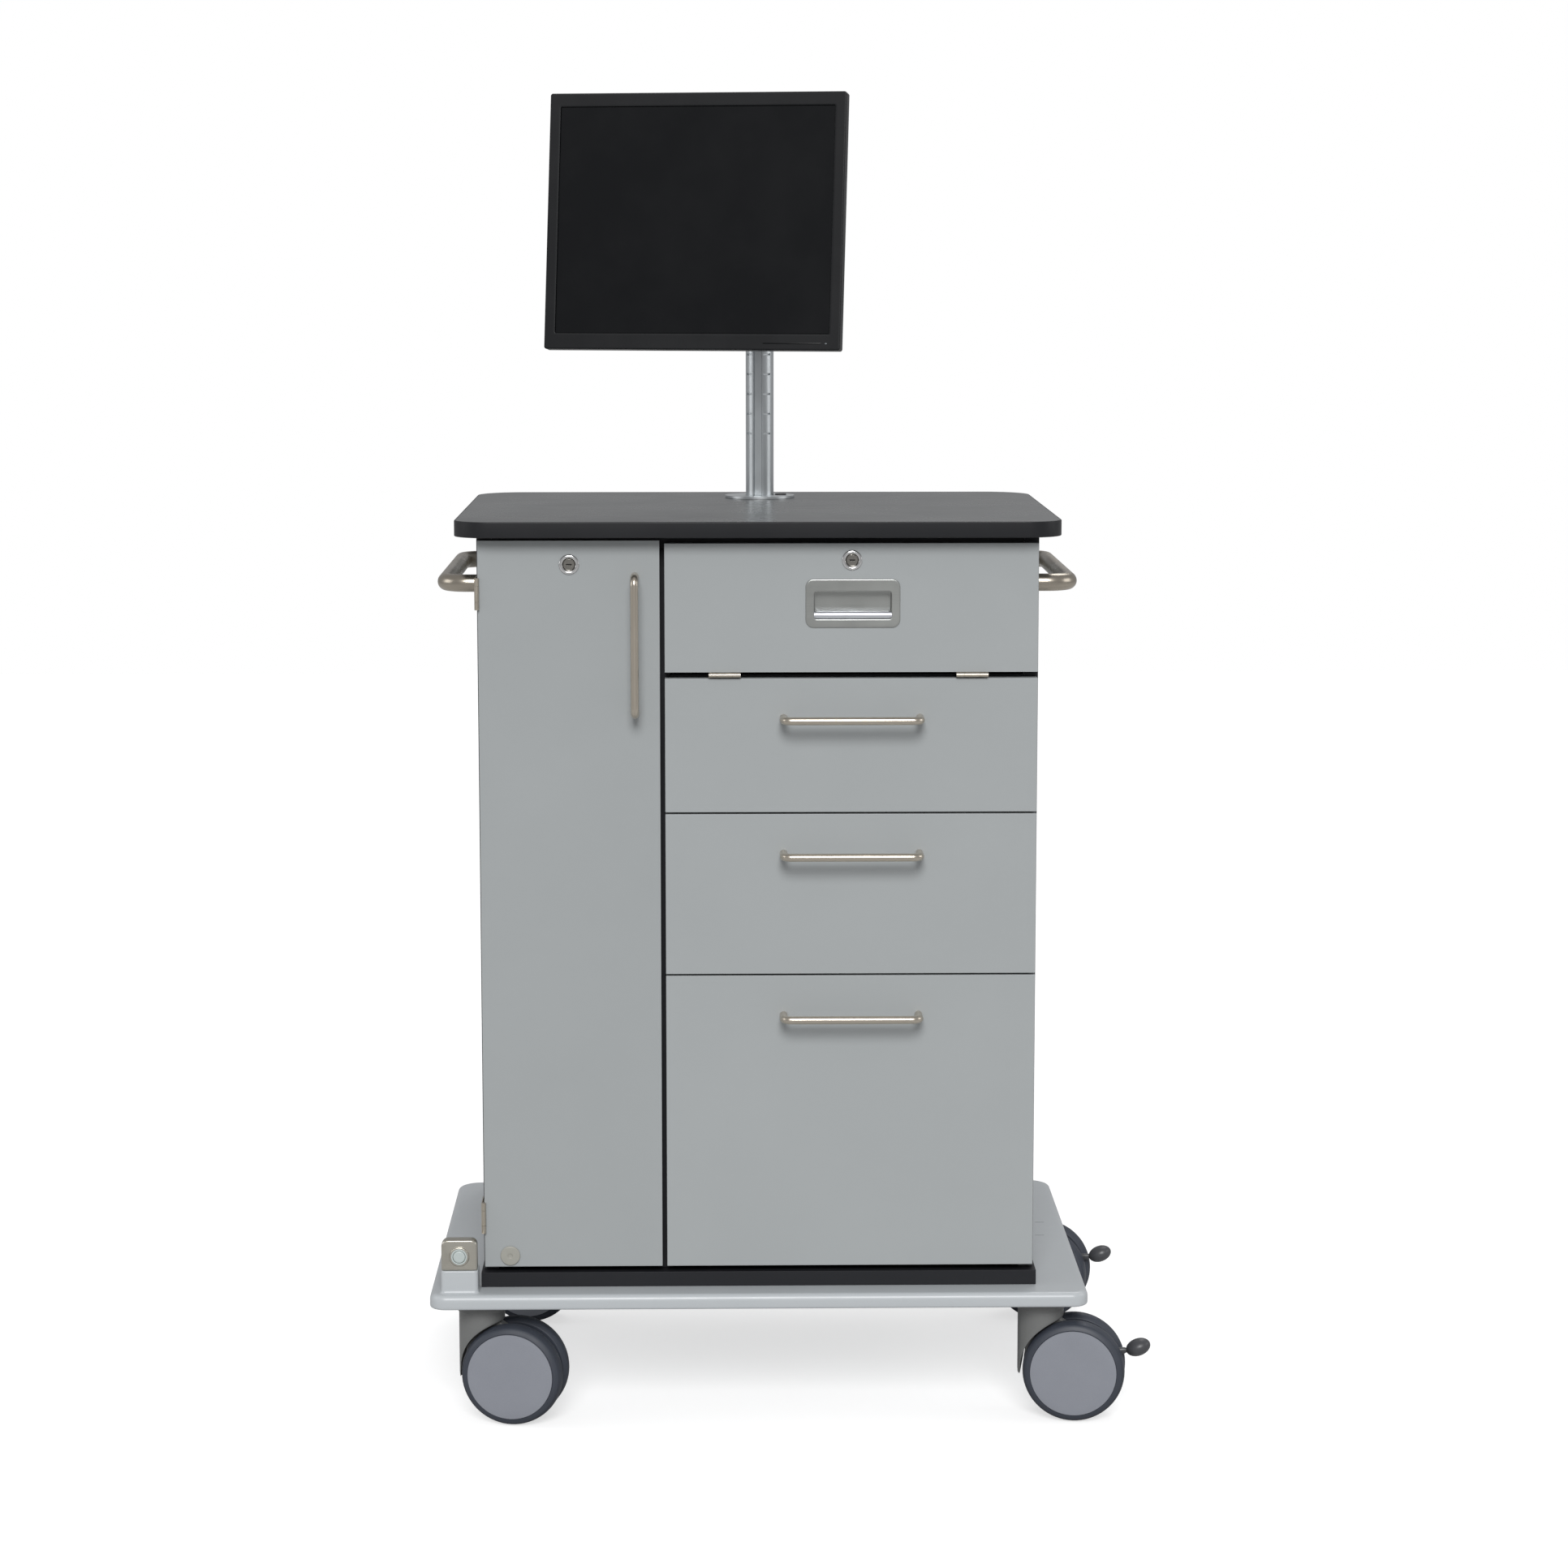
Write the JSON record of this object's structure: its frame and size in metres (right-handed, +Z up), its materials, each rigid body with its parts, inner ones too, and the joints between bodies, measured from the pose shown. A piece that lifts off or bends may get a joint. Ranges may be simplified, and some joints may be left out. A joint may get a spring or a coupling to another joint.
{
  "type": "medication cart",
  "caption": "Hospital medication cart: board cabinet with a tall cupboard, a drop-down flap and drawers on a caster base, with push handles and a monitor on a post.",
  "frame": {"origin": "middle of the whole cart's box in plan, on the floor under the wheels", "axes": "+Z up, +X to the right of someone facing the drawers, -Y towards that person"},
  "size_m": [0.8806, 0.577, 1.6158],
  "materials": {
    "laminate": "light grey laminate on board, fine mottled grain",
    "dark_board": "charcoal melamine on board, matt",
    "worktop_laminate": "charcoal laminate with a satin sheen and a matching edge band",
    "base_moulding": "light grey moulding with a fine orange-peel texture",
    "brushed_steel": "satin stainless, brushed along its length",
    "polished_steel": "bright turned face",
    "anodised_aluminium": "satin anodised, fine drawn lines",
    "zinc_steel": "zinc-plated pressed steel, satin",
    "coated_tray": "pale grey powder coat, fine texture",
    "caster_plastic": "mid-grey nylon, moulded satin",
    "wheel_plastic": "grey tread on a paler moulded wheel disc",
    "dark_plastic": "charcoal moulding, fine spark texture",
    "screen": "dark panel with a matt anti-glare film",
    "pedal_plastic": "dark grey nylon, satin",
    "light_plastic": "pale grey moulding, satin gloss"
  },
  "bodies": {
    "cart_body": {"base_plate": "base_moulding", "cabinet_floor": "dark_board", "side_panel_left": "laminate", "side_panel_right": "laminate", "back_panel": "laminate", "front_top_rail": "dark_board", "divider_panel": "dark_board", "laptop_shelf": "dark_board", "cupboard_shelf": "laminate", "worktop": "worktop_laminate", "post_flange": "polished_steel", "post": "anodised_aluminium", "push_handle_left": "brushed_steel", "push_handle_right": "brushed_steel", "button_cover": "brushed_steel", "runner_frame_left": "zinc_steel", "runner_frame_right": "zinc_steel", "door_hinge_leaf_upper": "zinc_steel", "door_hinge_leaf_lower": "zinc_steel", "flap_hinge_leaf_left": "zinc_steel", "flap_hinge_leaf_right": "zinc_steel"},
    "door": {"cupboard_door": "laminate", "door_lock_rim": "polished_steel", "door_pull": "brushed_steel", "door_hinge_upper": "zinc_steel", "door_hinge_lower": "zinc_steel", "door_cover_cap": "light_plastic"},
    "door_lock": {"door_lock_plug": "polished_steel"},
    "flap": {"flap_panel": "laminate", "flap_lock_rim": "polished_steel", "flap_recess_pull": "anodised_aluminium", "flap_hinge_left": "zinc_steel", "flap_hinge_right": "zinc_steel"},
    "flap_lock": {"flap_lock_plug": "polished_steel"},
    "button": {"push_button": "light_plastic"},
    "collar": {"post_collar": "dark_plastic"},
    "arm": {"monitor_arm": "anodised_aluminium"},
    "head": {"monitor_head": "dark_plastic"},
    "monitor": {"monitor_bracket": "dark_plastic", "monitor_housing": "dark_plastic", "monitor_screen": "screen"},
    "upper_drawer": {"upper_drawer_front": "laminate", "upper_drawer_tray": "coated_tray", "upper_drawer_pull": "brushed_steel"},
    "middle_drawer": {"middle_drawer_front": "laminate", "middle_drawer_tray": "coated_tray", "middle_drawer_pull": "brushed_steel"},
    "deep_drawer": {"deep_drawer_front": "laminate", "deep_drawer_tray": "coated_tray", "deep_drawer_pull": "brushed_steel"},
    "caster_front_left": {"caster_housing_front_left": "caster_plastic"},
    "wheels_front_left": {"caster_wheels_front_left": "wheel_plastic"},
    "caster_front_right": {"caster_housing_front_right": "caster_plastic"},
    "wheels_front_right": {"caster_wheels_front_right": "wheel_plastic"},
    "pedal_front_right": {"brake_pedal_front_right": "pedal_plastic"},
    "caster_rear_left": {"caster_housing_rear_left": "caster_plastic"},
    "wheels_rear_left": {"caster_wheels_rear_left": "wheel_plastic"},
    "caster_rear_right": {"caster_housing_rear_right": "caster_plastic"},
    "wheels_rear_right": {"caster_wheels_rear_right": "wheel_plastic"},
    "pedal_rear_right": {"brake_pedal_rear_right": "pedal_plastic"}
  },
  "joints": [
    {"name": "door_hinge", "type": "hinge", "parent": "cart_body", "child": "door", "pos_m": [-0.37515, -0.2516, 0.64], "axis": [0, 0, -1], "range_deg": [0, 100]},
    {"name": "door_lock_turn", "type": "hinge", "parent": "door", "child": "door_lock", "pos_m": [-0.26544, -0.2485, 1.051], "axis": [0, -1, 0], "range_deg": [0, 90]},
    {"name": "flap_hinge", "type": "hinge", "parent": "cart_body", "child": "flap", "pos_m": [0.07071, -0.2516, 0.9186], "axis": [1, 0, 0], "range_deg": [0, 90]},
    {"name": "flap_lock_turn", "type": "hinge", "parent": "flap", "child": "flap_lock", "pos_m": [0.07121, -0.2485, 1.0558], "axis": [0, -1, 0], "range_deg": [0, 90]},
    {"name": "upper_drawer_slide", "type": "slide", "parent": "cart_body", "child": "upper_drawer", "axis": [0, -1, 0], "range_m": [0, 0.4]},
    {"name": "middle_drawer_slide", "type": "slide", "parent": "cart_body", "child": "middle_drawer", "axis": [0, -1, 0], "range_m": [0, 0.4]},
    {"name": "deep_drawer_slide", "type": "slide", "parent": "cart_body", "child": "deep_drawer", "axis": [0, -1, 0], "range_m": [0, 0.4]},
    {"name": "button_press", "type": "slide", "parent": "cart_body", "child": "button", "axis": [0, 1, 0], "range_m": [0, 0.0025], "stiffness_N_per_m": 400},
    {"name": "caster_swivel_front_left", "type": "hinge", "parent": "cart_body", "child": "caster_front_left", "pos_m": [-0.38284, -0.2345, 0.1], "axis": [0, 0, 1], "continuous": true},
    {"name": "wheel_spin_front_left", "type": "hinge", "parent": "caster_front_left", "child": "wheels_front_left", "pos_m": [-0.33853, -0.24231, 0.0625], "axis": [0.1736, 0.9848, 0], "continuous": true},
    {"name": "caster_swivel_front_right", "type": "hinge", "parent": "cart_body", "child": "caster_front_right", "pos_m": [0.30216, -0.2345, 0.1], "axis": [0, 0, 1], "continuous": true},
    {"name": "wheel_spin_front_right", "type": "hinge", "parent": "caster_front_right", "child": "wheels_front_right", "pos_m": [0.34682, -0.23998, 0.0625], "axis": [0.1219, 0.9925, 0], "continuous": true},
    {"name": "brake_pedal_front_right", "type": "hinge", "parent": "caster_front_right", "child": "pedal_front_right", "pos_m": [0.36667, -0.24242, 0.0845], "axis": [-0.1219, -0.9925, 0], "range_deg": [0, 18]},
    {"name": "caster_swivel_rear_left", "type": "hinge", "parent": "cart_body", "child": "caster_rear_left", "pos_m": [-0.38284, 0.2155, 0.1], "axis": [0, 0, 1], "continuous": true},
    {"name": "wheel_spin_rear_left", "type": "hinge", "parent": "caster_rear_left", "child": "wheels_rear_left", "pos_m": [-0.33883, 0.20614, 0.0625], "axis": [0.2079, 0.9781, 0], "continuous": true},
    {"name": "caster_swivel_rear_right", "type": "hinge", "parent": "cart_body", "child": "caster_rear_right", "pos_m": [0.30216, 0.2155, 0.1], "axis": [0, 0, 1], "continuous": true},
    {"name": "wheel_spin_rear_right", "type": "hinge", "parent": "caster_rear_right", "child": "wheels_rear_right", "pos_m": [0.34582, 0.20461, 0.0625], "axis": [0.2419, 0.9703, 0], "continuous": true},
    {"name": "brake_pedal_rear_right", "type": "hinge", "parent": "caster_rear_right", "child": "pedal_rear_right", "pos_m": [0.36522, 0.19978, 0.0845], "axis": [-0.2419, -0.9703, 0], "range_deg": [0, 18]},
    {"name": "collar_height", "type": "slide", "parent": "cart_body", "child": "collar", "axis": [0, 0, 1], "range_m": [-0.15, 0.05]},
    {"name": "arm_swing", "type": "hinge", "parent": "collar", "child": "arm", "pos_m": [-0.03334, 0.1755, 1.428], "axis": [0, 0, 1], "range_deg": [-90, 90]},
    {"name": "head_swivel", "type": "hinge", "parent": "arm", "child": "head", "pos_m": [-0.09604, 0.13045, 1.44], "axis": [0, 0, 1], "range_deg": [-100, 45]},
    {"name": "monitor_tilt", "type": "hinge", "parent": "head", "child": "monitor", "pos_m": [-0.09992, 0.1139, 1.447], "axis": [0.9736, -0.2284, 0], "range_deg": [-12, 12]}
  ]
}
